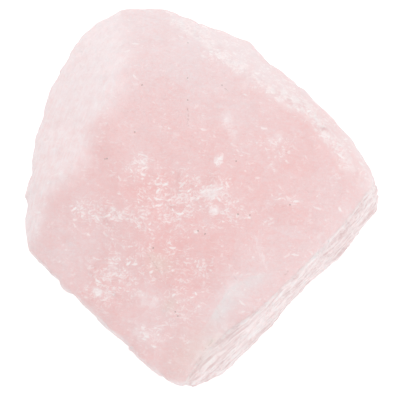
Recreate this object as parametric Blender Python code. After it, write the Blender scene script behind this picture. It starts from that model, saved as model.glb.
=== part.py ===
"""Rough rose quartz chunk, as broken from a larger mass and set down on its broad lower fracture.

The chunk is one solid. It starts as the convex lump that its corners span. Conchoidal scars
are struck out of it, its faces get the coarse unevenness of broken quartz, and one flat
fracture is cut below, which is what it rests on.

The scene is in metres and the tables below are in millimetres. +Z is up, and the origin is
the middle of the underside of the chunk's box. The broad pink face looks up and leans
towards -Y, so +Y is the thick end, and the pointed corner of the face is towards +X.
"""

import math

import bmesh
import bpy
from mathutils import Matrix, Vector

MM = 0.001

# The broad face: how far it leans towards -Y, and how high its middle stands.
FACE_TILT = math.radians(12)
FACE_HEIGHT = 32.0

# Upper corners are given from the middle of the broad face: across it, up its slope, and
# out of it. The ridges are where the broad face ends.
LEFT_RIDGE = [
    (-34.2, -8.0, -6.5),
    (-31.4, -0.4, -2.8),
    (-26.4, 4.0, -0.9),
    (-21.8, 12.0, -0.2),
    (-17.2, 21.0, -0.5),
    (-13.0, 26.8, -1.6),
]
TOP_RIDGE = [
    (-3.0, 29.0, -2.4),
    (7.0, 26.6, -1.8),
    (13.0, 22.0, -1.0),
    (19.4, 17.0, -1.2),
    (25.0, 11.2, -1.8),
    (30.0, 6.0, -3.0),
]
RIGHT_RIDGE = [
    (35.0, 1.8, -4.8),
    (30.0, -4.0, -2.6),
    (24.4, -10.8, -1.6),
    (19.0, -16.0, -1.6),
    (12.4, -21.6, -2.0),
    (5.8, -27.0, -3.2),
    (0.4, -32.6, -4.8),
]
# Along the near left side the broad face runs straight out to the edge of the chunk.
NEAR_EDGE = [
    (-3.2, -40.0, -7.5),
    (-8.2, -37.0, -6.8),
    (-14.9, -30.2, -5.6),
    (-19.8, -24.6, -5.0),
    (-26.8, -19.0, -5.0),
    (-31.6, -14.4, -6.2),
    (-35.2, -10.8, -8.0),
]
# The face swells a little in the middle.
SWELL = [(-2.0, 9.4, 1.4), (3.0, -4.6, 1.7), (-9.0, -6.0, 1.2), (10.0, 4.0, 1.2)]

# The girdle is the widest line of the chunk, below the ridges.
LEFT_GIRDLE = [
    (-35.8, -7.0, -12.0),
    (-34.8, 2.0, -13.0),
    (-34.2, 7.0, -14.0),
    (-33.4, 12.0, -14.0),
    (-32.4, 15.6, -14.0),
    (-30.2, 21.4, -14.0),
    (-27.8, 24.4, -14.0),
    (-27.4, 29.0, -15.0),
    (-23.8, 33.8, -15.0),
    (-19.0, 36.8, -14.0),
]
TOP_GIRDLE = [
    (-12.6, 39.0, -14.0),
    (-7.6, 38.2, -13.0),
    (-2.6, 35.4, -12.0),
    (3.0, 33.0, -11.0),
    (8.2, 31.8, -11.0),
    (11.6, 29.6, -11.0),
    (17.6, 24.0, -10.0),
    (24.2, 17.6, -10.0),
    (27.8, 14.4, -10.0),
    (31.0, 9.4, -10.0),
    (35.8, 4.4, -10.0),
]
RIGHT_GIRDLE = [
    (37.2, -1.6, -22.0),
    (34.8, -6.4, -24.0),
    (30.2, -10.2, -24.0),
    (20.4, -18.4, -22.0),
    (12.2, -25.0, -20.0),
    (6.8, -32.0, -18.0),
    (4.0, -36.8, -17.0),
    (0.8, -39.2, -16.0),
]

# The lower corners are in the frame of the table, under the chunk.
UNDERSIDE = [
    (-25.0, -11.0),
    (-13.0, -23.0),
    (-3.0, -31.0),
    (3.5, -29.5),
    (13.0, -19.5),
    (25.5, -7.0),
    (31.0, -2.0),
    (28.0, 9.0),
    (17.0, 22.0),
    (5.0, 31.0),
    (-9.0, 34.0),
    (-20.0, 30.0),
    (-27.0, 18.0),
    (-30.0, 3.0),
]
BELOW_TABLE = 4.0  # the lump is made this much deeper, then cut flat
TABLE_SPAN = 120.0  # side of the block that does the cutting

# Conchoidal scars: where each was struck, which way it faces, the radius of its bowl and how
# deep it goes. The wide ones shape the sides and the small ones notch the edge of the face.
SCARS = {
    "back": ((4.0, 37.0, 15.0), (0.35, 1.0, 0.1), 34.0, 3.2),
    "back_low": ((18.0, 24.0, 4.0), (0.6, 0.8, -0.5), 22.0, 3.0),
    "back_left": ((-23.0, 31.0, 9.0), (-0.8, 0.7, -0.3), 20.0, 3.4),
    "left": ((-33.5, 6.0, 10.0), (-1.0, 0.1, -0.35), 26.0, 3.4),
    "left_notch": ((-35.6, 10.6, 20.5), (-1.0, 0.2, 0.3), 7.0, 1.0),
    "left_high": ((-29.0, 27.4, 23.0), (-1.0, 0.6, 0.2), 8.0, 1.0),
    "near_left": ((-16.0, -24.5, 7.0), (-0.7, -0.8, -0.4), 22.0, 3.4),
    "near_left_edge": ((-29.6, -16.0, 21.0), (-0.6, -0.8, 0.2), 9.0, 0.9),
    "near_tip": ((3.0, -35.0, 5.0), (0.5, -1.0, -0.3), 14.0, 2.4),
    "near_right": ((20.0, -19.0, 6.0), (0.7, -0.7, -0.1), 30.0, 1.6),
    "right": ((29.0, 14.0, 9.0), (0.8, 0.65, -0.3), 17.0, 3.0),
    "far_right": ((15.0, 28.0, 13.0), (0.7, 0.8, 0.2), 24.0, 2.6),
}

# The coarse unevenness of the faces: the grid it is shown in, how far apart its swells are,
# how high they stand in all, and how much of that goes inwards.
GRAIN = 2.3
ROUGH_SIZE = 11.0
ROUGH_HEIGHT = 2.2
ROUGH_INWARDS = 0.42
WORN_PASSES = 2

ROSE = (0.84, 0.60, 0.60, 1.0)


def clear_scene():
    for old in list(bpy.data.objects):
        bpy.data.objects.remove(old)


def rose_quartz():
    """A pale pink stone with a greasy, slightly translucent lustre."""
    material = bpy.data.materials.new("rose_quartz")
    material.use_nodes = True
    shader = material.node_tree.nodes["Principled BSDF"]
    shader.inputs["Base Color"].default_value = ROSE
    shader.inputs["Roughness"].default_value = 0.35
    shader.inputs["Metallic"].default_value = 0.0
    return material


def add_mesh(name, shape):
    """A new object in the scene that holds this bmesh."""
    mesh = bpy.data.meshes.new(name)
    shape.to_mesh(mesh)
    shape.free()
    made = bpy.data.objects.new(name, mesh)
    bpy.context.scene.collection.objects.link(made)
    return made


def from_face(across, up_slope, out):
    """A corner given from the middle of the broad face, in the frame of the table."""
    turned = Matrix.Rotation(FACE_TILT, 3, "X") @ Vector((across, up_slope, out))
    return (turned + Vector((0.0, 0.0, FACE_HEIGHT))) * MM


def lump():
    """The convex lump that all the corners span."""
    shape = bmesh.new()
    upper = LEFT_RIDGE + TOP_RIDGE + RIGHT_RIDGE + NEAR_EDGE + SWELL
    upper += LEFT_GIRDLE + TOP_GIRDLE + RIGHT_GIRDLE
    for corner in upper:
        shape.verts.new(from_face(*corner))
    for x, y in UNDERSIDE:
        shape.verts.new(Vector((x, y, -BELOW_TABLE)) * MM)
    bmesh.ops.convex_hull(shape, input=shape.verts)
    loose = [v for v in shape.verts if not v.link_faces]
    bmesh.ops.delete(shape, geom=loose, context="VERTS")
    return add_mesh("rose_quartz_chunk", shape)


def as_cutter(tool):
    """Marks a tool that is only there to cut with."""
    tool.hide_render = True
    tool.display_type = "WIRE"
    return tool


def scar_bowl(name, struck, facing, radius, depth):
    """The ball whose near cap is the bowl of one conchoidal scar."""
    shape = bmesh.new()
    bmesh.ops.create_icosphere(shape, subdivisions=4, radius=radius * MM)
    bowl = as_cutter(add_mesh("scar_" + name, shape))
    outward = Vector(facing).normalized()
    bowl.location = (Vector(struck) + outward * (radius - depth)) * MM
    return bowl


def table_block():
    """Everything below the table top, which cuts the flat fracture underneath."""
    shape = bmesh.new()
    bmesh.ops.create_cube(shape, size=TABLE_SPAN * MM)
    block = as_cutter(add_mesh("table_block", shape))
    block.location.z = -TABLE_SPAN * MM / 2
    return block


def cut(body, tool):
    """Takes the tool's shape out of the body."""
    boolean = body.modifiers.new("cut_" + tool.name, "BOOLEAN")
    boolean.operation = "DIFFERENCE"
    boolean.solver = "EXACT"
    boolean.object = tool


def roughen(body):
    """Breaks the clean faces up into the low swells and hollows of broken quartz."""
    remesh = body.modifiers.new("grain", "REMESH")
    remesh.mode = "VOXEL"
    remesh.voxel_size = GRAIN * MM
    swells = bpy.data.textures.new("swells", "CLOUDS")
    swells.noise_scale = ROUGH_SIZE * MM
    swells.noise_depth = 2
    soften = body.modifiers.new("worn_edges", "SMOOTH")
    soften.iterations = WORN_PASSES
    displace = body.modifiers.new("unevenness", "DISPLACE")
    displace.texture = swells
    displace.strength = ROUGH_HEIGHT * MM
    displace.mid_level = ROUGH_INWARDS


def centre_over_origin(body, tools):
    """Moves the body and its tools so that the origin is under the middle of its box."""
    bpy.context.view_layer.update()
    shown = body.evaluated_get(bpy.context.evaluated_depsgraph_get())
    box = [shown.matrix_world @ Vector(corner) for corner in shown.bound_box]
    middle = (Vector(map(min, zip(*box))) + Vector(map(max, zip(*box)))) / 2
    for piece in [body, *tools]:
        piece.location.x -= middle.x
        piece.location.y -= middle.y


clear_scene()
chunk = lump()
chunk.data.materials.append(rose_quartz())
tools = [scar_bowl(name, *scar) for name, scar in SCARS.items()]
for bowl in tools:
    cut(chunk, bowl)
roughen(chunk)
tools.append(table_block())
cut(chunk, tools[-1])
centre_over_origin(chunk, tools)
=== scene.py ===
# %% [markdown]
# # A rough rose quartz chunk
# Rose quartz grows as one solid mass, and a rough chunk is a piece broken off it. So there is
# only one piece to make here: the stone. We start from the solid that the physics uses, give it
# a fine skin, break that skin up the way quartz breaks, and then colour it from the inside out.

# %% Load the measured solid
import math

import bmesh
import bpy
import numpy as np
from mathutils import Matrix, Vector
from mathutils.bvhtree import BVHTree
from mathutils.kdtree import KDTree


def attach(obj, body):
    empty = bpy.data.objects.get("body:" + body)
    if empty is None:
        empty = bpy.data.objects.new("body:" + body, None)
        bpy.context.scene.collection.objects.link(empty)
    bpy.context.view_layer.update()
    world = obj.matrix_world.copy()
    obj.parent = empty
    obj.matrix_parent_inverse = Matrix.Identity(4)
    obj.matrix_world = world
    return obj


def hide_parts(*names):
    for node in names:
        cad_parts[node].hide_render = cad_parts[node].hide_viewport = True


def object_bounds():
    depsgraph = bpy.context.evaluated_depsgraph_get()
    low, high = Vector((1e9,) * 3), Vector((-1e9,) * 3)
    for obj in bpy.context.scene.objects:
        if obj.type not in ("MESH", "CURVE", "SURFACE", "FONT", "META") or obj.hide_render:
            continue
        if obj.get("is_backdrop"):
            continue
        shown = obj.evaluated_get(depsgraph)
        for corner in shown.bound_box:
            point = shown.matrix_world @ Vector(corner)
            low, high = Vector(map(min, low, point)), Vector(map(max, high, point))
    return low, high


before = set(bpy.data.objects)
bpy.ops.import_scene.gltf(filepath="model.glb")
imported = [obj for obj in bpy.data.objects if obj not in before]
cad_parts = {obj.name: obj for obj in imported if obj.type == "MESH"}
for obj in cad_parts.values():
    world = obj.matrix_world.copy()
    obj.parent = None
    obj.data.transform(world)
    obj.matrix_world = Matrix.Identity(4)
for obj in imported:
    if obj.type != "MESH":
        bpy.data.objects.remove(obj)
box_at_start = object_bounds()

MM = 0.001
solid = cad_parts["rose_quartz_chunk"]
size = (box_at_start[1] - box_at_start[0]) / MM
print(f"solid: {size.x:.1f} x {size.y:.1f} x {size.z:.1f} mm, {len(solid.data.polygons)} faces")

# %% [markdown]
# ## Writing node trees as formulas
# Quartz is all texture, so most of this lesson is node trees. A small class lets us write
# them as sums: every `+` or `*` on a value adds the matching node and wires it up.


# %% A value that flows through a node tree
class Value:
    """A number, direction or colour in a node tree. Arithmetic on it adds nodes."""

    def __init__(self, tree, socket):
        self.tree = tree
        self.socket = socket

    def math(self, operation, *others, clamp=False):
        node = self.tree.nodes.new("ShaderNodeMath")
        node.operation = operation
        node.use_clamp = clamp
        for slot, value in zip(node.inputs, (self, *others)):
            feed(slot, value)
        return Value(self.tree, node.outputs[0])

    def vector(self, operation, *others):
        node = self.tree.nodes.new("ShaderNodeVectorMath")
        node.operation = operation
        for slot, value in zip(node.inputs, (self, *others)):
            feed(slot, value)
        single = operation in ("DOT_PRODUCT", "LENGTH", "DISTANCE")
        return Value(self.tree, node.outputs["Value" if single else "Vector"])

    def times(self, factor):
        """A direction made longer or shorter."""
        node = self.tree.nodes.new("ShaderNodeVectorMath")
        node.operation = "SCALE"
        feed(node.inputs[0], self)
        feed(node.inputs["Scale"], factor)
        return Value(self.tree, node.outputs["Vector"])

    def ramp(self, low, high):
        """0 below low and 1 above high, with a smooth rise between them."""
        node = self.tree.nodes.new("ShaderNodeMapRange")
        node.interpolation_type = "SMOOTHSTEP"
        for slot, value in zip(node.inputs, (self, low, high, 0.0, 1.0)):
            feed(slot, value)
        return Value(self.tree, node.outputs[0])

    def __add__(self, other):
        return self.math("ADD", other)

    def __sub__(self, other):
        return self.math("SUBTRACT", other)

    def __mul__(self, other):
        return self.math("MULTIPLY", other)

    def __rtruediv__(self, other):
        node = self.tree.nodes.new("ShaderNodeMath")
        node.operation = "DIVIDE"
        feed(node.inputs[0], other)
        feed(node.inputs[1], self)
        return Value(self.tree, node.outputs[0])


def feed(slot, value):
    """Wires a value into a socket, or sets a plain number there."""
    if isinstance(value, Value):
        value.tree.links.new(value.socket, slot)
    else:
        slot.default_value = value


print("a Value turns + - and * into nodes, each wired to the last")

# %% [markdown]
# ## The patterns to read
# Cloudy noise makes veils and stains. Voronoi cells make chips, because each cell is a patch
# with a value of its own. Noise read in a stretched space makes fibres and streaks.

# %% Noise, cells and stretched places


def noise(at, grain, detail=2.0, roughness=0.5, colour=False):
    """Cloudy noise whose lumps are about one grain apart."""
    node = at.tree.nodes.new("ShaderNodeTexNoise")
    feed(node.inputs["Vector"], at)
    feed(node.inputs["Scale"], 1.0 / grain)
    feed(node.inputs["Detail"], detail)
    feed(node.inputs["Roughness"], roughness)
    return Value(at.tree, node.outputs[1 if colour else 0])


def cells(at, grain, soft=0.0):
    """Voronoi cells: a random colour for each cell, and the middle of the cell."""
    node = at.tree.nodes.new("ShaderNodeTexVoronoi")
    node.feature = "SMOOTH_F1" if soft else "F1"
    feed(node.inputs["Vector"], at)
    feed(node.inputs["Scale"], 1.0 / grain)
    if soft:
        feed(node.inputs["Smoothness"], soft)
    return Value(at.tree, node.outputs["Color"]), Value(at.tree, node.outputs["Position"])


def stretched(at, turn, lengths, rise=0.0):
    """The same place in axes turned about the upright, each measured in its own length.
    The first axis may also rise out of level. Noise read there comes out in streaks."""
    node = at.tree.nodes.new("ShaderNodeVectorRotate")
    node.rotation_type = "EULER_XYZ"
    node.invert = True
    feed(node.inputs["Vector"], at)
    feed(node.inputs["Rotation"], (0.0, -math.radians(rise), math.radians(turn)))
    return Value(at.tree, node.outputs[0]).vector("DIVIDE", lengths)


def parts(value):
    """The three numbers a direction or colour is made of."""
    node = value.tree.nodes.new("ShaderNodeSeparateXYZ")
    feed(node.inputs[0], value)
    return [Value(value.tree, socket) for socket in node.outputs]


print("patterns: noise, cells, and places stretched along a direction")

# %% [markdown]
# ## Groups with named sockets
# A group is a node tree kept under one name, with sockets for its sizes. Both the geometry
# and the shading below are made of groups, so one helper opens a group and its sockets.

# %% Open a node group


def new_group(name, kind, inputs, outputs):
    """A node group with named sockets: returns its tree, its input values and its exit node."""
    tree = bpy.data.node_groups.new(name, kind)
    for label, socket_type, default in inputs:
        socket = tree.interface.new_socket(label, in_out="INPUT", socket_type=socket_type)
        if default is not None:
            socket.default_value = default
    for label, socket_type in outputs:
        tree.interface.new_socket(label, in_out="OUTPUT", socket_type=socket_type)
    enter = tree.nodes.new("NodeGroupInput")
    values = {socket.name: Value(tree, socket) for socket in enter.outputs if socket.name}
    return tree, values, tree.nodes.new("NodeGroupOutput")


FLOAT = "NodeSocketFloat"
VECTOR = "NodeSocketVector"
GEOMETRY = "NodeSocketGeometry"
print("groups hold numbers, directions and meshes")

# %% [markdown]
# ## A fine skin over the solid
# The physics solid is deliberately coarse. We rebuild its surface on a fine, even grid and
# relax it, which keeps the size and every ridge but loses the flat triangles.

# %% Rebuild the surface on a fine grid
FINE = 0.46
RELAX_PASSES = 12


def apply_modifiers(piece):
    """Works an object's modifiers into a plain mesh of its own."""
    graph = bpy.context.evaluated_depsgraph_get()
    plain = bpy.data.meshes.new_from_object(piece.evaluated_get(graph), depsgraph=graph)
    piece.modifiers.clear()
    piece.data = plain


def merged_copy(node, name):
    """A copy of a solid's mesh, with the corners that neighbouring faces share made one."""
    shape = bmesh.new()
    shape.from_mesh(node.data)
    bmesh.ops.remove_doubles(shape, verts=shape.verts, dist=0.001 * MM)
    mesh = bpy.data.meshes.new(name)
    shape.to_mesh(mesh)
    shape.free()
    piece = bpy.data.objects.new(name, mesh)
    bpy.context.scene.collection.objects.link(piece)
    return piece


stone = merged_copy(solid, "rose_quartz_stone")
coarse = stone.data
remesh = stone.modifiers.new("fine grid", "REMESH")
remesh.mode = "VOXEL"
remesh.voxel_size = FINE * MM
relax = stone.modifiers.new("relax", "SMOOTH")
relax.iterations = RELAX_PASSES
apply_modifiers(stone)
print(f"fine skin: {len(stone.data.vertices)} corners on a {FINE} mm grid")

# %% [markdown]
# ## How much stone lies behind each spot
# Rose quartz is only faintly pink. A thick part looks deep pink because you look through
# more of it, and a thin edge looks nearly white. So we measure the thickness: from every
# corner we send rays inwards and keep the mean distance they travel through stone.

# %% Measure the stone behind the surface
RAYS = 60
FAR = 34.0
# Rays start this far under the skin, in mm, and lean at least this much inwards.
SINK = 0.3
INWARDS = -0.25
# A finer corner takes the mean of this many coarse ones. The nearest count most, evened out
# by this many mm so that one which happens to touch it doesn't drown the others.
NEIGHBOURS = 4
EVENING = 0.3


def even_directions(count):
    """Directions spread evenly over a sphere, on a golden spiral."""
    step = np.arange(count) + 0.5
    up = 1 - 2 * step / count
    around = np.pi * (1 + 5**0.5) * step
    flat = np.sqrt(1 - up * up)
    return [Vector(d) for d in zip(flat * np.cos(around), flat * np.sin(around), up)]


def stone_behind(mesh):
    """The mean inward reach at each corner of a mesh, in mm, and never more than FAR."""
    tree = BVHTree.FromPolygons([v.co for v in mesh.vertices], [p.vertices for p in mesh.polygons])
    fan = even_directions(RAYS)
    reach = []
    for corner in mesh.vertices:
        start = corner.co - corner.normal * (SINK * MM)
        inward = [d for d in fan if d.dot(corner.normal) < INWARDS]
        hits = [tree.ray_cast(start, d, FAR * MM)[3] for d in inward]
        reach.append(np.mean([FAR if h is None else h / MM for h in hits]))
    return np.array(reach)


def carry_over(values, source, target):
    """Moves a value per corner from one mesh to the nearest corners of another."""
    tree = KDTree(len(source.vertices))
    for corner in source.vertices:
        tree.insert(corner.co, corner.index)
    tree.balance()
    carried = []
    for corner in target.vertices:
        near = tree.find_n(corner.co, NEIGHBOURS)
        weight = np.array([1.0 / (n[2] + EVENING * MM) for n in near])
        carried.append(weight @ values[[n[1] for n in near]] / weight.sum())
    return np.array(carried)


thickness = carry_over(stone_behind(coarse), coarse, stone.data)
print(f"stone behind the surface: {thickness.min():.1f} to {thickness.max():.1f} mm")

# %% [markdown]
# ## Where the stone is milky, crackled or stained
# A real chunk isn't the same all over. It has white veils where it is full of tiny bubbles,
# crackled spots where a blow left fine cracks, and faint mineral stains. These are listed as
# soft oval patches, in millimetres, and the shader breaks their edges up.

# %% The patches
# Each patch: middle x and y, half length and half width in mm, the turn of its long side in
# degrees, and its strength.
MILK = [
    (5.1, 11.6, 4.6, 2.0, -68, 0.60),
    (1.8, -2.3, 2.8, 1.8, 17, 0.70),
    (2.7, 4.2, 1.8, 0.8, 59, 0.70),
    (2.3, -5.6, 1.4, 1.2, 0, 0.70),
    (-5.3, 9.2, 1.6, 1.2, 22, 0.50),
    (5.9, -20.8, 3.6, 2.4, 31, 0.60),
    (11.6, -12.8, 3.8, 0.7, -70, 0.50),
    (3.4, -28.7, 6.8, 3.2, 42, 0.40),
    (-21.0, -20.3, 1.0, 0.8, -45, 1.00),
    (-10.9, -21.7, 3.6, 4.8, -90, 0.45),
    (-11.5, -28.4, 4.0, 2.2, -22, 0.50),
    (-24.4, -14.5, 2.4, 0.7, -79, 0.50),
    (2.7, -15.3, 7.2, 0.5, -89, 0.35),
    (-0.6, -17.6, 0.6, 2.4, -90, 0.30),
    (-22.4, -10.5, 3.2, 1.2, -22, 0.30),
    (-28.3, -7.5, 2.0, 1.6, -90, 0.35),
    (19.1, 8.5, 2.8, 0.8, -39, 0.30),
    (14.2, 8.3, 2.4, 1.6, 45, 0.50),
    (8.3, 19.1, 3.6, 1.8, -31, 0.35),
    (0.4, -31.5, 4.8, 1.6, 42, 0.40),
    (21.7, -15.4, 2.0, 1.0, 39, 0.40),
    (23.1, -9.8, 1.8, 0.8, 45, 0.40),
]
CRACKLE = [
    (-17.9, -6.5, 6.4, 1.8, -9, 1.00),
    (-3.9, -1.6, 6.4, 3.2, 0, 0.80),
    (-12.4, 3.2, 2.8, 3.2, -90, 0.80),
    (-18.4, -18.7, 4.8, 5.2, -90, 0.85),
    (2.3, -2.6, 2.8, 3.6, -90, 0.90),
    (14.4, 6.7, 2.6, 3.6, -90, 0.70),
    (-0.2, -16.1, 2.4, 1.6, 0, 0.60),
    (21.2, 13.3, 3.2, 2.0, -39, 0.80),
    (-4.2, -23.2, 4.0, 4.8, -90, 0.60),
    (-10.5, -28.6, 3.2, 2.4, 0, 0.70),
    (-23.3, -4.1, 4.0, 1.6, -11, 0.60),
    (5.3, -6.4, 4.8, 2.0, 0, 0.50),
    (17.1, -3.3, 4.0, 2.4, 0, 0.40),
    (2.6, 25.3, 3.2, 2.8, -22, 0.60),
    (18.3, 17.4, 3.6, 1.6, -42, 0.70),
    (27.1, 7.0, 3.6, 1.4, -48, 0.70),
    (-5.5, -6.3, 4.0, 2.0, -11, 0.70),
    (-8.0, -8.0, 15.0, 11.0, 0, 0.35),
    (-8.0, -16.0, 6.0, 3.0, -20, 0.40),
]
# Glint patches: spots of painted highlight, where small crack faces catch the light.
PAINTED_GLINTS = [
    (-22.6, -15.7, 0.6, 0.5, 0, 1.00),
    (-18.2, -15.0, 0.9, 0.4, -25, 1.00),
    (-15.4, -16.4, 1.1, 0.4, -50, 1.00),
    (-17.6, -19.7, 0.8, 0.5, 0, 1.00),
    (-21.0, -20.5, 1.2, 1.4, 30, 1.00),
    (-2.2, -20.0, 0.6, 0.4, 20, 0.80),
    (-1.2, -15.9, 0.9, 0.4, -60, 1.00),
    (-10.9, -28.7, 0.9, 0.7, 0, 0.90),
    (-7.9, -26.2, 0.6, 0.8, 0, 0.80),
    (-3.8, -24.8, 0.5, 0.4, 0, 0.80),
    (-9.6, 0.2, 1.2, 0.5, -10, 1.00),
    (-11.2, 4.0, 0.9, 0.5, 60, 0.90),
    (-14.1, 1.9, 0.8, 0.4, 40, 0.80),
    (-3.3, 1.1, 1.0, 0.5, 20, 0.90),
    (-1.4, -9.6, 0.6, 0.6, 0, 1.00),
    (-22.7, -9.4, 0.7, 0.6, -30, 1.00),
    (-20.3, -6.2, 1.4, 0.5, -10, 0.80),
    (-17.7, -5.0, 1.2, 0.6, -15, 0.90),
    (-12.4, -5.4, 1.0, 0.5, 0, 0.90),
    (-6.9, -7.5, 1.3, 0.5, -10, 1.00),
    (1.0, -1.7, 1.2, 0.8, 30, 0.90),
    (2.3, -5.5, 0.9, 1.0, 0, 0.90),
    (2.9, 3.6, 1.2, 0.6, 50, 0.90),
    (3.7, 4.6, 0.6, 1.0, 0, 0.90),
    (15.0, 8.3, 0.9, 0.6, 40, 0.80),
    (14.1, 2.4, 1.0, 0.6, -30, 0.80),
    (24.1, 9.4, 1.0, 0.6, -50, 0.90),
    (22.5, 10.7, 1.0, 0.6, -40, 0.90),
    (4.3, 19.6, 1.0, 0.5, 0, 0.70),
    (2.4, 29.3, 1.4, 0.7, -20, 0.80),
    (3.3, 4.0, 0.9, 1.9, -20, 0.90),
    (-4.6, 33.0, 1.0, 0.5, -10, 0.60),
    (11.6, -12.8, 3.0, 0.4, -70, 0.50),
]
STAINS_AND_CREVICE_SHADE = [
    (-8.5, -15.5, 2.4, 1.8, -11, 0.70),
    (-6.5, -23.1, 1.2, 1.6, -63, 0.60),
    # The next patch is the dark slit on the ridged face: painted shade in a narrow crevice.
    (1.6, -30.0, 1.6, 0.4, 39, 0.80),
    (-9.7, -14.2, 1.2, 0.6, -45, 0.60),
    # This broad, faint patch makes the bottom of the broad face a little greyer and browner.
    (-2.0, -32.0, 6.0, 3.5, 42, 0.40),
]
DEEP = [
    (-5.5, -14.5, 9.0, 7.0, -30, 0.90),
    (-11.0, -1.5, 7.0, 3.0, 0, 0.50),
    (-3.5, -9.5, 7.0, 4.0, 0, 0.40),
    (6.0, -1.0, 9.0, 2.5, 0, 0.35),
    (-21.3, 10.3, 2.4, 2.0, -90, 0.20),
    (14.0, 6.0, 6.0, 3.0, -30, 0.30),
    (9.3, 18.1, 2.8, 1.6, -31, 0.40),
    (19.1, 12.5, 4.4, 1.6, -42, 0.30),
]
PALE = [
    (-8.0, 34.0, 26.0, 13.0, 0, 0.95),
    (-20.0, 22.0, 7.0, 9.0, 0, 0.60),
    (3.0, 17.0, 13.0, 8.0, -25, 0.48),
    (0.0, 27.0, 5.0, 3.5, 0, 0.40),
    (7.0, -20.5, 9.0, 3.4, 42, 0.95),
    (16.0, -12.0, 5.0, 5.0, 0, 0.30),
    (10.0, 25.0, 11.0, 5.5, -42, 0.75),
    (-11.0, -24.0, 4.0, 8.0, 0, 0.30),
    (-28.0, -11.0, 6.0, 7.0, 0, 0.45),
    (27.0, -2.0, 6.0, 6.0, 0, 0.30),
]

print(f"{len(MILK)} milky patches, {len(CRACKLE)} crackled and {len(PAINTED_GLINTS)} bright ones")

# %% [markdown]
# ## Where the faces meet
# A broken chunk has few true edges, but each face has a finish of its own, so the shader has
# to know which face a spot is on. Each ridge is a bent line seen from above. The distance
# from it, with a sign for the side, tells the faces apart and fades one into the next.

# %% The ridges
# Places x and y in mm, with the broad face on the right hand as the line runs.
LEFT_RIDGE = [
    (-34.3, -10.6),
    (-31.3, -2.5),
    (-26.2, 1.0),
    (-22.5, 8.4),
    (-20.9, 13.3),
    (-17.4, 18.3),
    (-14.8, 23.4),
    (-16.3, 34.4),
]
FAR_RIDGE = [
    (-4.6, 33.7),
    (2.4, 27.1),
    (12.4, 19.2),
    (19.9, 15.6),
    (25.1, 9.8),
    (29.1, 4.2),
    (33.2, -0.4),
]
NEAR_RIDGE = [
    (33.6, 0.3),
    (28.1, -6.8),
    (23.6, -12.1),
    (18.4, -17.2),
    (11.7, -23.1),
    (4.9, -28.0),
    (-0.6, -33.0),
    (-3.8, -37.6),
]
# The edge of a shallow shell that came off beside the near ridge, with the shell on its left.
SHELL_EDGE = [
    (12.4, -16.9),
    (9.0, -17.9),
    (6.7, -19.1),
    (5.0, -20.1),
    (3.9, -21.7),
    (2.5, -23.5),
    (1.1, -26.0),
    (-0.6, -28.3),
]

print(f"ridges of {len(LEFT_RIDGE)}, {len(FAR_RIDGE)} and {len(NEAR_RIDGE)} places")

# %% [markdown]
# ## Painting it on the skin
# Each of these becomes one number per corner of the mesh, an attribute. Geometry Nodes and
# the shader both read attributes by name, so the relief and the colour always agree. The
# patches lie on faces that look up, and fade out where the stone turns down.

# %% Paint the corners
# A face counts as looking up from this upward part of its normal, and fully so this much on.
LEAST_UP = 0.2
UP_RANGE = 0.4
# The level direction that the ridged face looks in.
NEAR_WAY = (0.707, -0.707)
# How pale the sides are, and how crackled the broad face is between its patches.
PALE_SIDES = 0.6
LEAST_CRACKLE = 0.2


def corner_places(mesh):
    """The corners of a mesh as rows of x, y and z in mm, and their normals."""
    places = np.empty(len(mesh.vertices) * 3)
    mesh.vertices.foreach_get("co", places)
    normals = np.empty(len(mesh.vertices) * 3)
    mesh.vertex_normals.foreach_get("vector", normals)
    return places.reshape(-1, 3) / MM, normals.reshape(-1, 3)


def patches(places, facing_up, table):
    """How strongly each corner lies in any patch of a table, from 0 to 1."""
    clear = np.ones(len(places))
    for x, y, half_length, half_width, turn, strength in table:
        angle = math.radians(turn)
        along = (places[:, 0] - x) * math.cos(angle) + (places[:, 1] - y) * math.sin(angle)
        across = (places[:, 1] - y) * math.cos(angle) - (places[:, 0] - x) * math.sin(angle)
        inside = np.exp(-((along / half_length) ** 2 + (across / half_width) ** 2))
        clear *= 1 - strength * inside
    return (1 - clear) * facing_up


def past_ridge(places, ridge):
    """How far each corner is outside a ridge, seen from above, in mm. Inside it's negative."""
    nearest = np.full(len(places), np.inf)
    signed = np.zeros(len(places))
    for start, end in zip(np.array(ridge), np.array(ridge[1:])):
        along = end - start
        offset = places[:, :2] - start
        share = np.clip(offset @ along / (along @ along), 0, 1)
        gap = offset - share[:, None] * along
        distance = np.hypot(gap[:, 0], gap[:, 1])
        side = np.sign(along[0] * offset[:, 1] - along[1] * offset[:, 0])
        closer = distance < nearest
        nearest = np.where(closer, distance, nearest)
        signed = np.where(closer, side * distance, signed)
    return signed


def paint(mesh, name, values):
    """Stores one value per corner, for the node trees to read by name."""
    layer = mesh.attributes.new(name, "FLOAT", "POINT")
    layer.data.foreach_set("value", values.astype(np.float32))


places, normals = corner_places(stone.data)
facing_up = np.clip((normals[:, 2] - LEAST_UP) / UP_RANGE, 0, 1)
paint(stone.data, "thickness", thickness)
paint(stone.data, "steep", 1 - facing_up)
level = normals[:, :2] / np.maximum(np.hypot(normals[:, 0], normals[:, 1]), 1e-6)[:, None]
paint(stone.data, "faces_near", np.clip(level @ NEAR_WAY, 0, 1))
for name, table in (
    ("milk", MILK),
    ("crackle", CRACKLE),
    ("painted_glint", PAINTED_GLINTS),
    ("stain_and_crevice_shade", STAINS_AND_CREVICE_SHADE),
    ("deep", DEEP),
    ("pale", PALE),
):
    patch = patches(places, facing_up, table)
    if name == "pale":
        patch = np.maximum(patch, PALE_SIDES * (1 - facing_up))
    if name == "crackle":
        patch = np.maximum(patch, LEAST_CRACKLE * facing_up)
    paint(stone.data, name, patch)
    print(f"painted {name}: {len(table)} patches")
for name, ridge in (
    ("past_left", LEFT_RIDGE),
    ("past_far", FAR_RIDGE),
    ("past_near", NEAR_RIDGE),
    ("past_shell", SHELL_EDGE),
):
    paint(stone.data, name, past_ridge(places, ridge))

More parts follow.
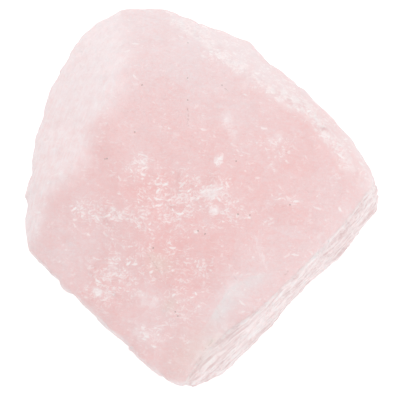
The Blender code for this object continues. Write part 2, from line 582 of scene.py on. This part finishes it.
# %% [markdown]
# ## Breaking the skin up
# Quartz has no planes to split along. It breaks in shells and chips that lean every way.
# A Voronoi pattern gives the chips: each cell becomes a small face with its own random
# lean. One side face has broken in long sinewy ridges, which are a noise stretched along
# its length, and the frosted side faces have a finer grain of the same kind.

# %% The fracture tree
# The way the ridges run on the ridged face, and the streaks on the left face: the turn from
# +X and the rise out of level, in degrees.
RIDGES_RUN = (45.0, 12.0)
STREAKS_RUN = (74.0, 17.0)
# The most that any spot may stand proud of the solid, in mm.
MOST_RAISED = 0.7


def chips(at, grain, soft):
    """Height of a field of chips: how far along its own lean a place is from its cell."""
    lean, middle = cells(at, grain, soft)
    lean = lean.vector("SUBTRACT", (0.5, 0.5, 0.5))
    return at.vector("SUBTRACT", middle).vector("DOT_PRODUCT", lean)


def fracture_tree(material):
    """Chips, ridges and frosted grain, moved in and out along the surface's normal."""
    tree, given, leave = new_group(
        "fracture skin",
        "GeometryNodeTree",
        [
            ("Geometry", GEOMETRY, None),
            ("Chip Size", FLOAT, 7.0),
            ("Chip Depth", FLOAT, 0.1),
            ("Fine Chip Size", FLOAT, 2.6),
            ("Fine Chip Depth", FLOAT, 0.1),
            ("Ridge Spacing", FLOAT, 3.0),
            ("Ridge Height", FLOAT, 1.0),
            ("Streak Spacing", FLOAT, 1.2),
            ("Streak Height", FLOAT, 0.3),
            ("Shell Depth", FLOAT, 0.2),
            ("Seed", FLOAT, 0.0),
        ],
        [("Geometry", GEOMETRY)],
    )
    spot = Value(tree, tree.nodes.new("GeometryNodeInputPosition").outputs[0]).times(1 / MM)
    normal = Value(tree, tree.nodes.new("GeometryNodeInputNormal").outputs[0])
    seeded = tree.nodes.new("ShaderNodeCombineXYZ")
    for slot in seeded.inputs:
        feed(slot, given["Seed"])
    place = spot.vector("ADD", Value(tree, seeded.outputs[0]))
    wander = noise(place, 5.0, 3.0, 0.55, colour=True).vector("SUBTRACT", (0.5, 0.5, 0.5))
    bent = place.vector("ADD", wander.times(2.6))

    def named(name):
        node = tree.nodes.new("GeometryNodeInputNamedAttribute")
        node.data_type = "FLOAT"
        node.inputs["Name"].default_value = name
        return Value(tree, node.outputs["Attribute"])

    # Where each kind of breakage lies, with edges that a little noise makes ragged.
    wobble = noise(place, 3.0, 3.0, 0.6) - 0.5
    ridged = (named("past_near") + wobble * 1.4).ramp(-0.3, 0.5)
    ridged = ridged * (named("faces_near") + wobble * 1.0).ramp(0.30, 1.0)
    left = (named("past_left") + wobble * 3.0).ramp(-1.5, 1.0)
    crust = (named("past_far").math("ABSOLUTE") + wobble * 2.0).ramp(2.4, 0.6)
    patchy = noise(place, 9.0, 2.0).ramp(0.42, 0.62)
    upward = normal.vector("DOT_PRODUCT", (0.0, 0.0, 1.0))
    steep = upward.ramp(0.6, 0.1)
    broken = named("crackle").math("MAXIMUM", patchy * 0.35).math("MAXIMUM", crust)
    broken = broken.math("MAXIMUM", steep * (patchy * 0.5 + 0.15)) * (ridged * -0.6 + 1.0)

    # The chips, in three sizes.
    fine_size = given["Fine Chip Size"]
    fine_depth = given["Fine Chip Depth"] * broken
    big = chips(bent, given["Chip Size"], 0.35) * given["Chip Depth"] * (steep * 2.4 + 1.0)
    small = chips(bent, fine_size, 0.12) * fine_depth
    tiny = chips(bent, fine_size * 0.5, 0.1) * fine_depth

    # The ridges of the ridged face, and the fibres of the left one.
    turn, rise = RIDGES_RUN
    spread = bent.times(1.0 / given["Ridge Spacing"])
    wide = noise(stretched(spread, turn, (7.0, 1.0, 1.0), rise), 1.0, 2.0, 0.5) - 0.5
    narrow = noise(stretched(spread, turn + 4.0, (5.0, 0.35, 0.35), rise), 1.0, 2.0, 0.6) - 0.5
    ridges = (wide + narrow * 0.35) * given["Ridge Height"] * ridged
    turn, rise = STREAKS_RUN
    spread = bent.times(1.0 / given["Streak Spacing"])
    fibres = noise(stretched(spread, turn, (10.0, 1.0, 1.0), rise), 1.0, 2.0, 0.6) - 0.5
    streaks = fibres * given["Streak Height"] * left

    # The shell that came off, then everything together, but nothing underneath.
    past_shell = named("past_shell") + wobble * 0.5
    shell = past_shell.ramp(-0.1, 0.5) * past_shell.ramp(5.0, 1.0) * given["Shell Depth"]
    height = big * (ridged * -0.7 + 1.0) + small + tiny + ridges + streaks - shell
    height = height.math("MINIMUM", MOST_RAISED) * upward.ramp(-0.9, -0.5)

    move = tree.nodes.new("GeometryNodeSetPosition")
    feed(move.inputs["Geometry"], given["Geometry"])
    feed(move.inputs["Offset"], normal.times(height * MM))
    real = tree.nodes.new("GeometryNodeRealizeInstances")
    tree.links.new(move.outputs[0], real.inputs[0])
    finish = tree.nodes.new("GeometryNodeSetMaterial")
    finish.inputs["Material"].default_value = material
    tree.links.new(real.outputs[0], finish.inputs["Geometry"])
    tree.links.new(finish.outputs[0], leave.inputs[0])
    return tree


def break_up(piece, tree, settings):
    """Runs the fracture tree on a piece with these named settings, and keeps the result."""
    modifier = piece.modifiers.new("fracture skin", "NODES")
    modifier.node_group = tree
    for item in tree.interface.items_tree:
        if item.in_out == "INPUT" and item.name in settings:
            modifier[item.identifier] = settings[item.name]
    apply_modifiers(piece)


print(f"ridges run {RIDGES_RUN[0]:.0f} degrees from +X, streaks {STREAKS_RUN[0]:.0f}")

# %% [markdown]
# ## Milky veils
# The material is built from small groups, each a thing you could point at on the stone. The
# first is the veils: white clouds, which are bubbles too small to see, trapped as it grew.
# Noise read at a place that noise has already pushed about looks torn and folded, as they do.

# %% Veils


def wandering(at, grain, reach):
    """The same place pushed about by noise, which bends whatever pattern is read there."""
    push = noise(at, grain, 3.0, 0.55, colour=True).vector("SUBTRACT", (0.5, 0.5, 0.5))
    return at.vector("ADD", push.times(reach))


def veil_group():
    """Soft milky clouds, with long level bands running through them."""
    tree, given, leave = new_group(
        "milky veils",
        "ShaderNodeTree",
        [("Place", VECTOR, None)],
        [("Cloud", FLOAT), ("Band", FLOAT), ("Tear", FLOAT), ("Facet", FLOAT), ("Mottle", FLOAT)],
    )
    bent = wandering(given["Place"], 7.0, 5.0)
    feed(leave.inputs["Cloud"], noise(bent, 8.0, 5.0, 0.6))
    feed(leave.inputs["Band"], noise(stretched(bent, -4.0, (6.0, 1.2, 2.0)), 1.0, 4.0, 0.65))
    torn = wandering(given["Place"], 2.5, 1.2)
    feed(leave.inputs["Tear"], noise(torn, 1.8, 4.0, 0.65))
    feed(leave.inputs["Facet"], parts(cells(torn, 5.5)[0])[0])
    crumb = wandering(given["Place"], 1.5, 0.9)
    feed(leave.inputs["Mottle"], noise(stretched(crumb, 3.0, (0.8, 0.5, 0.6)), 1.0, 4.0, 1.0))
    return tree


print("veils: clouds, level bands, torn edges, facets and a fine mottle")

# %% [markdown]
# ## The flash of fine cracks
# A blow leaves small curved cracks inside quartz. Their lips look white, and where they catch
# the light they flash; both the white and the flash are painted into the colour here. Two sizes
# of short bent dashes, one to a Voronoi cell, give the separate flecks and painted glints. A net
# of thin bent lines ties them together, or they would look scattered on.

# %% Crack dashes
# How far apart the dashes lie, and their half length and half width, all in mm.
LONG_DASHES = (1.5, (0.75, 0.24))
SHORT_DASHES = (0.75, (0.34, 0.18))


def flecks(flat, amount, kind):
    """Short curved dashes, at most one to a cell, each with its own lean, length and bend."""
    grain, (half_length, half_width) = kind
    node = flat.tree.nodes.new("ShaderNodeTexVoronoi")
    node.voronoi_dimensions = "2D"
    feed(node.inputs["Vector"], flat)
    feed(node.inputs["Scale"], 1.0 / grain)
    chance, size, lean = parts(Value(flat.tree, node.outputs["Color"]))
    turned = flat.tree.nodes.new("ShaderNodeVectorRotate")
    turned.rotation_type = "Z_AXIS"
    middle = Value(flat.tree, node.outputs["Position"])
    feed(turned.inputs["Vector"], flat.vector("SUBTRACT", middle))
    feed(turned.inputs["Angle"], (lean - 0.42) * 1.9)
    along, across, _ = parts(Value(flat.tree, turned.outputs[0]))
    bow = along * along * ((chance - 0.25) * 1.2)
    reach = (along * (1.0 / (size * half_length + half_length * 0.5))).math("POWER", 2.0)
    width = ((across + bow) * (1.0 / half_width)).math("POWER", 2.0)
    return (reach + width).ramp(1.4, 0.2) * (amount - chance).ramp(0.0, 0.3) * (size * 0.6 + 0.4)


def crack_lips(place, amount):
    """A loose net of bent lines: where the amount is high, more of each line shows."""
    curved = wandering(place, 2.4, 2.4)
    lips = None
    for turn, lengths, start in (
        (-8.0, (1.5, 0.30, 0.7), 0.60),
        (58.0, (1.2, 0.28, 0.7), 0.63),
        (-50.0, (0.9, 0.26, 0.7), 0.65),
    ):
        line = noise(stretched(curved, turn, lengths), 1.0, 1.0, 0.5) + amount * 0.12
        line = line.ramp(start, start + 0.18)
        lips = line if lips is None else lips.math("MAXIMUM", line)
    return lips * amount.ramp(0.0, 0.4)


def dash_group():
    """Bright dashes and flecks: white crack lips inside the stone, with their glints painted in.
    """
    tree, given, leave = new_group(
        "crack dashes",
        "ShaderNodeTree",
        [("Place", VECTOR, None), ("Amount", FLOAT, 0.5), ("Steep", FLOAT, 0.0)],
        [("Dash", FLOAT), ("Haze", FLOAT)],
    )
    place = given["Place"]
    cluster = noise(place, 2.4, 3.0, 0.65).ramp(0.36, 0.62)
    amount = given["Amount"] * (cluster * 0.85 + 0.3)
    flat = wandering(place, 0.9, 0.5).vector("MULTIPLY", (1.0, 1.0, 0.0))
    long = flecks(flat, amount, LONG_DASHES)
    short = flecks(flat, amount, SHORT_DASHES)
    net = crack_lips(place, amount.math("MAXIMUM", given["Steep"] * cluster * 0.8)) * 0.6
    feed(leave.inputs["Dash"], long.math("MAXIMUM", short * 0.8).math("MAXIMUM", net))
    feed(leave.inputs["Haze"], amount * noise(place, 0.8, 3.0, 0.8).ramp(0.38, 0.68))
    return tree


print(f"cracks: dashes {LONG_DASHES[0]} and {SHORT_DASHES[0]} mm apart over a net of bent lines")

# %% [markdown]
# ## Splinter lines and broken grain
# The ridged face broke into long splinters, which show as fine lines lying along it. They are
# three stretched noises of different widths, so no line runs on for ever. The whole broken
# surface has a fine grain too, which is chips again, too small to be worth modelling.

# %% Lines and grain


def streak_group():
    """Fine parallel lines, as long splinters of quartz show along a side face."""
    tree, given, leave = new_group(
        "splinter lines",
        "ShaderNodeTree",
        [("Place", VECTOR, None)],
        [("Ridged", FLOAT), ("Left", FLOAT)],
    )
    bent = wandering(given["Place"], 13.0, 3.0)
    turn, rise = RIDGES_RUN
    sheaf = noise(stretched(bent, turn, (28.0, 1.2, 4.0), rise), 1.0, 2.0, 0.6)
    first = noise(stretched(bent, turn + 2.0, (30.0, 0.8, 1.5), rise), 1.0, 2.0, 0.6)
    second = noise(stretched(bent, turn - 3.0, (22.0, 0.42, 0.65), rise), 1.0, 2.0, 0.6)
    feed(leave.inputs["Ridged"], sheaf * 0.2 + first * 0.35 + second * 0.45)
    turn, rise = STREAKS_RUN
    feed(leave.inputs["Left"], noise(stretched(bent, turn, (7.0, 0.6, 0.6), rise), 1.0, 3.0, 0.7))
    return tree


def grain_group():
    """The fine unevenness of a broken surface, as a height for the bump."""
    tree, given, leave = new_group(
        "broken grain",
        "ShaderNodeTree",
        [("Place", VECTOR, None)],
        [("Height", FLOAT)],
    )
    bent = wandering(given["Place"], 1.4, 0.8)
    height = chips(bent, 1.1, 0.1) + chips(bent, 0.5, 0.1)
    feed(leave.inputs["Height"], height + noise(given["Place"], 0.35, 3.0) * 0.2)
    return tree


print("lines run the same way as the modelled ridges and streaks")

# %% [markdown]
# ## Specks, hairlines and open cracks
# A few dark mineral specks and grimy hairlines stop the stone looking like candy, and two of
# the lines are painted shade in narrow crevices. They are listed one by one. For each spot the
# shader finds the nearest one and darkens close to it.

# %% Specks and hairlines
# Places of the dark specks, in mm.
SPECKS = [
    (-12.0, 19.1),
    (-13.4, 9.7),
    (-19.3, 4.6),
    (-18.9, 4.6),
    (6.5, 3.9),
    (-3.0, 20.5),
    (-3.0, 16.0),
    (0.4, -10.0),
    (9.2, -6.3),
    (-3.0, 28.1),
    (3.7, 19.0),
    (-9.8, -12.5),
    (-1.0, -9.4),
    (17.1, -4.2),
    (6.9, -6.2),
    (-5.5, -24.4),
    (-5.0, -25.2),
]
# Dark hairline cracks, as the x and y of both ends, in mm.
HAIRLINES_AND_CREVICE_SHADE = [
    (-3.0, 15.0, -3.0, 10.6),
    (3.9, 18.4, 5.1, 17.8),
    (-11.0, -13.7, -9.9, -15.1),
    (-9.9, -15.1, -8.5, -16.8),
    (-8.5, -16.8, -6.9, -16.6),
    # The last two are the dark slits on the ridged face: painted shade in narrow crevices.
    (1.8, -29.6, 0.2, -31.5),
    (16.8, -16.8, 16.0, -17.8),
]
# The white lips of cracks that opened a little, in the same way: a broken ring, and a bow.
LIPS = [
    (1.0, -3.6, 1.0, -2.2),
    (1.0, -2.2, 1.8, -1.2),
    (1.8, -1.2, 3.2, -0.9),
    (3.2, -0.9, 4.4, -1.5),
    (4.4, -1.5, 5.0, -2.5),
    (5.2, -3.9, 5.9, -4.6),
    (10.4, -10.6, 11.2, -13.8),
    (11.2, -13.8, 12.8, -16.6),
]


def vector_along(share, along):
    """A fixed direction times a value."""
    node = share.tree.nodes.new("ShaderNodeVectorMath")
    node.operation = "SCALE"
    feed(node.inputs[0], tuple(along))
    feed(node.inputs["Scale"], share)
    return Value(share.tree, node.outputs["Vector"])


def nearest_line(flat, lines):
    """How far a place is from the nearest of some straight lines, in mm."""
    nearest = None
    for x, y, end_x, end_y in lines:
        along = Vector((end_x - x, end_y - y, 0.0))
        offset = flat.vector("SUBTRACT", (x, y, 0.0))
        step = along / along.length_squared
        share = offset.vector("DOT_PRODUCT", tuple(step)).math("MULTIPLY", 1.0, clamp=True)
        gap = offset.vector("SUBTRACT", vector_along(share, along)).vector("LENGTH")
        nearest = gap if nearest is None else nearest.math("MINIMUM", gap)
    return nearest


def speck_group():
    """Dark mineral specks, grimy hairline cracks, painted shade in two crevices, and the white
    lips of open ones.
    """
    tree, given, leave = new_group(
        "dark specks",
        "ShaderNodeTree",
        [("Place", VECTOR, None)],
        [("Speck", FLOAT), ("Hairline And Crevice Shade", FLOAT), ("Lip", FLOAT)],
    )
    flat = wandering(given["Place"], 0.4, 0.4).vector("MULTIPLY", (1.0, 1.0, 0.0))
    nearest = None
    for x, y in SPECKS:
        gap = flat.vector("DISTANCE", (x, y, 0.0))
        nearest = gap if nearest is None else nearest.math("MINIMUM", gap)
    feed(leave.inputs["Speck"], nearest.ramp(0.22, 0.08))
    bent = wandering(flat, 1.3, 1.1)
    feed(leave.inputs["Hairline And Crevice Shade"], nearest_line(bent, HAIRLINES_AND_CREVICE_SHADE).ramp(0.22, 0.08))
    feed(leave.inputs["Lip"], nearest_line(bent, LIPS).ramp(0.5, 0.1))
    return tree


print(f"{len(SPECKS)} specks, {len(HAIRLINES_AND_CREVICE_SHADE)} hairlines and {len(LIPS)} pale crack lips")

# %% [markdown]
# ## The stone's colours
# Rose quartz is a very pale stone. These are shares of the light that it sends back, which
# show lighter on a screen than they read: its pinkest still returns over half of the green.

# %% Colours
PALE_STONE = (0.872, 0.757, 0.768, 1.0)
PINK = (0.872, 0.535, 0.525, 1.0)
MILKY = (0.930, 0.800, 0.800, 1.0)
FROST = (0.945, 0.830, 0.838, 1.0)
CRUST = (0.960, 0.865, 0.860, 1.0)
# The ridged face's splinters: painted light on their crests and painted shade in their grooves.
LIT_SPLINTER_CREST = (0.990, 0.890, 0.890, 1.0)
SHADED_SPLINTER_GROOVE = (0.725, 0.550, 0.550, 1.0)
SHELL_GREY = (0.850, 0.762, 0.764, 1.0)
# White crack lips, with the painted highlight of their glints.
CRACK_WHITE_AND_GLINT = (1.0, 0.91, 0.905, 1.0)
# Brownish stains, also used for painted shade in one crevice.
STAIN_AND_SHADE_TONE = (0.80, 0.70, 0.62, 1.0)
DARK = (0.34, 0.26, 0.22, 1.0)
print(f"pink reflects {PINK[1] / PINK[0]:.2f} as much green as red, pale stone "
      f"{PALE_STONE[1] / PALE_STONE[0]:.2f}")

# %% [markdown]
# ## What every step of the material reads
# It is one stone, so it gets one shader, and each step below lays one more colour over the
# last. They all read the same things: the painted attributes and the groups' patterns.

# %% The skin that the steps share


def mix(mask, under, over):
    """Lays one colour over another where the mask is high."""
    node = mask.tree.nodes.new("ShaderNodeMix")
    node.data_type = "RGBA"
    feed(node.inputs[0], mask)
    feed(node.inputs[6], under)
    feed(node.inputs[7], over)
    return Value(mask.tree, node.outputs[2])


class Skin:
    """The painted values, the groups' patterns, and the colour so far."""

    def __init__(self, tree):
        self.tree = tree
        where = Value(tree, tree.nodes.new("ShaderNodeTexCoord").outputs["Object"])
        self.place = where.times(1 / MM)
        self.veils = self.group(veil_group())
        self.lines = self.group(streak_group())
        self.specks = self.group(speck_group())
        self.grain = self.group(grain_group())
        self.colour = None

    def group(self, group, **inputs):
        """Puts a shader group in the material and returns its outputs by name."""
        node = self.tree.nodes.new("ShaderNodeGroup")
        node.node_tree = group
        for name, value in {"Place": self.place, **inputs}.items():
            feed(node.inputs[name], value)
        return {socket.name: Value(self.tree, socket) for socket in node.outputs}

    def painted(self, name):
        """A value that was painted on the corners."""
        node = self.tree.nodes.new("ShaderNodeAttribute")
        node.attribute_name = name
        return Value(self.tree, node.outputs["Fac"])

    def swing(self, *names):
        """Veil patterns, each as a swing either side of nothing."""
        swings = [self.veils[name] - 0.5 for name in names]
        return swings if len(swings) > 1 else swings[0]

    def lay(self, mask, over):
        """Lays another colour over the stone."""
        self.colour = mix(mask, self.colour, over)


print("the skin reads painted values and four groups")

# %% [markdown]
# ## From pale to pink
# The pink deepens with the stone behind it, from THIN to THICK, and then veils, bands and
# facets push it either way, so that no two spots are quite the same. The milk goes on last.

# %% The body of the stone
THIN = 6.0
THICK = 24.0


def body_colour(skin):
    """Pink where the stone is thick, nearly white where it is thin, with milk in it."""
    painted = skin.painted
    cloud, band, mottle, tear, facet = skin.swing("Cloud", "Band", "Mottle", "Tear", "Facet")
    depth = painted("thickness").ramp(THIN, THICK) * 0.3 + painted("deep") * 0.32
    depth = depth - painted("pale") * 0.5 + 0.36
    depth = depth - painted("past_near").ramp(-5.0, 0.5) * 0.2
    depth = depth + cloud * (painted("steep") * 0.9 + 0.25) + facet * 0.16
    depth = depth + band * 0.35 + mottle * 1.3
    skin.colour = mix(depth.math("MULTIPLY", 1.0, clamp=True), PALE_STONE, PINK)
    milk = (painted("milk") + tear * 1.6 + mottle * 0.9).ramp(0.26, 0.66)
    skin.lay(milk * painted("milk").ramp(0.03, 0.5) * 0.7, MILKY)


def shell_and_lips(skin):
    """The greyer floor of the shallow shell, and the lips of the open cracks."""
    cloud, mottle, tear = skin.swing("Cloud", "Mottle", "Tear")
    past_shell = skin.painted("past_shell") + mottle * 0.8
    shell = past_shell.ramp(-0.2, 0.4) * past_shell.ramp(4.5, 0.6)
    shell = shell * (tear * 2.2 + cloud * 2.0 + mottle * 1.2 + 0.65)
    shell = shell * skin.painted("pale").ramp(0.1, 0.75)
    skin.lay(shell.math("MULTIPLY", 1.0, clamp=True), SHELL_GREY)
    skin.lay(skin.specks["Lip"] * skin.veils["Mottle"].ramp(0.42, 0.60) * 0.6, FROST)


print(f"pink deepens from {THIN:.0f} to {THICK:.0f} mm of stone")

# %% [markdown]
# ## Frost and crust
# The side faces broke rough, and a rough surface scatters light before it can go in, so they
# look frosted. The far ridge took the knocks and has a white crust of crushed stone.

# %% The frosted faces and the far rim


def frost(skin):
    """Frost on the left face, and patchily on every steep one. Returns where it lies."""
    cloud, mottle, tear = skin.swing("Cloud", "Mottle", "Tear")
    left = (skin.painted("past_left") + cloud * 9.0 + mottle * 5.0).ramp(-3.0, 2.0)
    patchy = skin.veils["Cloud"].ramp(0.40, 0.58) * 0.6 + 0.25
    left = left.math("MAXIMUM", skin.painted("steep") * patchy)
    skin.lay(left * (skin.lines["Left"].ramp(0.35, 0.65) * 0.25 + tear * 1.1 + 0.6), FROST)
    return left


def far_rim(skin):
    """Frost past the far ridge and crust along it. Returns the distance past it, and the crust."""
    far = skin.painted("past_far") + skin.swing("Cloud") * 8.0
    crumbs = (skin.veils["Mottle"] + skin.swing("Tear") * 0.8).ramp(0.38, 0.60)
    crust = far.math("ABSOLUTE").ramp(2.6, 0.4) * crumbs
    crust = crust * (skin.painted("past_near").ramp(-10.0, -1.0) * -0.6 + 1.0)
    skin.lay(far.ramp(-0.5, 2.5) * 0.35, FROST)
    skin.lay(crust * 0.8, CRUST)
    return far, crust


print("frost on the steep faces, crust along the far ridge")

# %% [markdown]
# ## The ridged face
# Its lines run from dark to light along the splinters and follow the modelled ridges and the
# bump: the light tone is painted light on the crests, the dark tone painted shade in the
# grooves. The steps between the two tones are smooth, because hard ones look painted on from
# the side.

# %% The splintered colours


def ridged_face(skin):
    """Splinters with painted light and shade, and a painted highlight on the top edge. Returns
    where they lie.
    """
    cloud, mottle, tear = skin.swing("Cloud", "Mottle", "Tear")
    near = skin.painted("past_near")
    ridged = (near + mottle).ramp(-0.2, 0.3)
    ridged = ridged * (skin.painted("faces_near") + tear * 1.6 + cloud * 0.6).ramp(0.30, 0.95)
    # The same lines drive the bump: the light tone is painted light on the raised crests, the dark
    # tone painted shade in the grooves.
    lit_and_shaded_splinters = mix(skin.lines["Ridged"].ramp(0.37, 0.63), SHADED_SPLINTER_GROOVE, LIT_SPLINTER_CREST)
    pinker = near.ramp(2.5, 6.0) * 0.35
    skin.lay(ridged * (pinker * -1.0 + 0.95), lit_and_shaded_splinters)
    # A painted highlight along the top edge of the ridged face, in the crust's colour.
    edge_highlight = (near + mottle * 0.8 - 0.2).math("ABSOLUTE").ramp(0.32, 0.1)
    skin.lay(edge_highlight * skin.veils["Band"].ramp(0.38, 0.55) * 0.7, CRUST)
    return ridged


print("splinter lines on the ridged face")

# %% [markdown]
# ## Cracks, stains and specks
# These are the smallest marks and go on last, over everything: a brownish stain, the haze of
# the cracks and their flash, which is painted highlight, and then the dark marks, which are
# faint and broken up. One stain and two of the dark lines are painted shade in crevices.

# %% The marks on top


def marks(skin, far, crust):
    """Stains, crack flecks with painted glints, hairlines with painted crevice shade, and specks.
    """
    painted = skin.painted
    mottle, tear = skin.swing("Mottle", "Tear")
    outside = far.ramp(-0.5, 1.5) * (painted("steep") * -0.45 + 0.45)
    cracked = painted("crackle").math("MAXIMUM", crust * 0.7).math("MAXIMUM", outside)
    dashes = skin.group(dash_group(), Amount=cracked, Steep=painted("steep"))
    # The glint patches and the crack dashes are painted highlight, partly the real white of crack
    # lips.
    painted_glint = (painted("painted_glint") * 0.8 + mottle * 2.0 + tear * 0.8).ramp(0.42, 0.85)
    # Stains, with painted shade in one crevice.
    skin.lay(painted("stain_and_crevice_shade") * 0.6, STAIN_AND_SHADE_TONE)
    skin.lay(dashes["Haze"] * 0.4, MILKY)
    skin.lay(dashes["Dash"].math("MAXIMUM", painted_glint * 0.9) * 0.95, CRACK_WHITE_AND_GLINT)
    # Hairlines, two of them painted shade in crevices.
    skin.lay(skin.specks["Hairline And Crevice Shade"] * skin.veils["Mottle"].ramp(0.46, 0.62) * 0.4, DARK)
    skin.lay(skin.specks["Speck"] * 0.6, DARK)


print("marks: stain, haze, flashes, hairlines and specks")

# %% [markdown]
# ## The shader itself
# Light travels a few millimetres through the stone before it comes out, a little further in
# red, which is the shader's subsurface part. The index of refraction is real quartz's. The
# frosted faces are rougher, and the finest grain and lines are bump.

# %% The rose quartz material
QUARTZ_IOR = 1.54
SUBSURFACE = 0.35
# How far light spreads in the stone: mm, and the share of that for red, green and blue.
SPREAD = 2.5
SPREAD_SHARES = (1.0, 0.75, 0.72)
GRAIN_STRENGTH = 0.6
GRAIN_DEPTH = 0.12


def rose_quartz():
    """The stone's material."""
    material = bpy.data.materials.new("rose_quartz")
    material.use_nodes = True
    tree = material.node_tree
    shader = tree.nodes["Principled BSDF"]
    skin = Skin(tree)
    body_colour(skin)
    shell_and_lips(skin)
    left = frost(skin)
    far, crust = far_rim(skin)
    ridged = ridged_face(skin)
    marks(skin, far, crust)
    feed(shader.inputs["Base Color"], skin.colour)
    feed(shader.inputs["Roughness"], left * 0.15 + (skin.veils["Cloud"] * 0.2 + 0.3))
    shader.inputs["IOR"].default_value = QUARTZ_IOR
    shader.inputs["Subsurface Weight"].default_value = SUBSURFACE
    shader.inputs["Subsurface Radius"].default_value = SPREAD_SHARES
    shader.inputs["Subsurface Scale"].default_value = SPREAD * MM
    bump = tree.nodes.new("ShaderNodeBump")
    bump.inputs["Strength"].default_value = GRAIN_STRENGTH
    bump.inputs["Distance"].default_value = GRAIN_DEPTH * MM
    feed(bump.inputs["Height"], skin.grain["Height"] + skin.lines["Ridged"] * ridged * 3.0)
    tree.links.new(bump.outputs[0], shader.inputs["Normal"])
    return material


quartz = rose_quartz()
print(f"{quartz.name}: {len(quartz.node_tree.nodes)} nodes")

# %% [markdown]
# ## Finishing the stone
# Now the fracture tree runs on the fine skin. Its settings are sizes in millimetres, so a
# different stone is a matter of changing these numbers.

# %% Break the surface up and put the stone in place
BREAKING = {
    "Chip Size": 7.0,
    "Chip Depth": 0.08,
    "Fine Chip Size": 2.6,
    "Fine Chip Depth": 0.2,
    "Ridge Spacing": 3.0,
    "Ridge Height": 3.2,
    "Streak Spacing": 1.2,
    "Streak Height": 0.32,
    "Shell Depth": 0.15,
    "Seed": 11.0,
}

break_up(stone, fracture_tree(quartz), BREAKING)
for face in stone.data.polygons:
    face.use_smooth = True
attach(stone, "root")
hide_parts("rose_quartz_chunk")
print(f"finished stone: {len(stone.data.polygons)} faces")

# %% [markdown]
# ## The light table
# Pale translucent stone shows best on a white surface that glows a little: the shadows
# almost vanish, and the stone's own colour carries the picture. To the camera the floor and
# the room are brighter than the light they give the stone, or its sides would wash out. The
# lamps don't show in reflections, so no hard glare crosses the top from low down.

# %% Floor, world and lamps
# How strongly the floor and the room glow on the stone, and how much more to the camera.
FLOOR_GLOW = 0.15
FLOOR_EXTRA = 0.3
ROOM_GLOW = 0.79
ROOM_EXTRA = 0.23


def glow(tree, low, extra):
    """A strength that is higher for what the camera sees directly."""
    path = tree.nodes.new("ShaderNodeLightPath")
    return Value(tree, path.outputs["Is Camera Ray"]) * extra + low


def floor():
    """A pale surface that glows a little."""
    mesh = bpy.data.meshes.new("light_table")
    shape = bmesh.new()
    bmesh.ops.create_grid(shape, x_segments=1, y_segments=1, size=2.0)
    shape.to_mesh(mesh)
    shape.free()
    made = bpy.data.objects.new("light_table", mesh)
    bpy.context.scene.collection.objects.link(made)
    material = bpy.data.materials.new("light_table")
    material.use_nodes = True
    shader = material.node_tree.nodes["Principled BSDF"]
    shader.inputs["Base Color"].default_value = (0.9, 0.9, 0.9, 1.0)
    shader.inputs["Roughness"].default_value = 0.9
    shader.inputs["Specular IOR Level"].default_value = 0.0
    shader.inputs["Emission Color"].default_value = (1.0, 1.0, 1.0, 1.0)
    strength = glow(material.node_tree, FLOOR_GLOW, FLOOR_EXTRA)
    feed(shader.inputs["Emission Strength"], strength)
    made.data.materials.append(material)
    return made


def lamp(name, place, size, watts):
    """A square lamp that looks at the stone. Its place and size are in mm."""
    light = bpy.data.lights.new(name, "AREA")
    light.size = size * MM
    light.energy = watts
    made = bpy.data.objects.new(name, light)
    made.location = Vector(place) * MM
    made.rotation_euler = (-made.location).to_track_quat("-Z", "Y").to_euler()
    made.visible_glossy = False
    bpy.context.scene.collection.objects.link(made)
    return made


floor()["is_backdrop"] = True
world = bpy.data.worlds.new("white_room")
bpy.context.scene.world = world
world.use_nodes = True
room = world.node_tree.nodes["Background"]
room.inputs["Color"].default_value = (1.0, 1.0, 1.0, 1.0)
feed(room.inputs["Strength"], glow(world.node_tree, ROOM_GLOW, ROOM_EXTRA))
lamp("key", (-30, 200, 420), 280, 0.48)
lamp("fill", (310, -330, 130), 200, 0.34)
print("stage: a glowing floor, a white room and two lamps")

# %% [markdown]
# ## Where we look from
# The camera looks almost straight down on the broad face, along its own normal, from half a
# metre away through a long lens, so the stone isn't stretched towards any side.

# %% The camera
TARGET = Vector((-0.6, -1.6, 24.0)) * MM
FROM_ABOVE = math.radians(78)
AWAY = 0.5
camera_data = bpy.data.cameras.new("camera")
camera_data.sensor_width = 36.0
camera_data.lens = 225.0
camera_data.clip_start = 0.01
camera = bpy.data.objects.new("camera", camera_data)
back = Vector((0.0, -math.cos(FROM_ABOVE), math.sin(FROM_ABOVE)))
camera.location = TARGET + back * AWAY
camera.rotation_euler = (-back).to_track_quat("-Z", "Y").to_euler()
bpy.context.scene.collection.objects.link(camera)
bpy.context.scene.camera = camera
bpy.context.scene.view_settings.view_transform = "Standard"
print(f"camera {AWAY * 1000:.0f} mm away, {math.degrees(FROM_ABOVE):.0f} degrees above level")

# %% [markdown]
# ## The size at both ends
# The finished stone has to fill the same box as the solid it stands for, so both boxes are
# printed.

# %% Print the boxes and finish
box_at_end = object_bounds()
boxes = {"start": box_at_start, "end": box_at_end}
for when, (low, high) in boxes.items():
    print(f"{when}: {[round(v / MM, 2) for v in high - low]} mm")
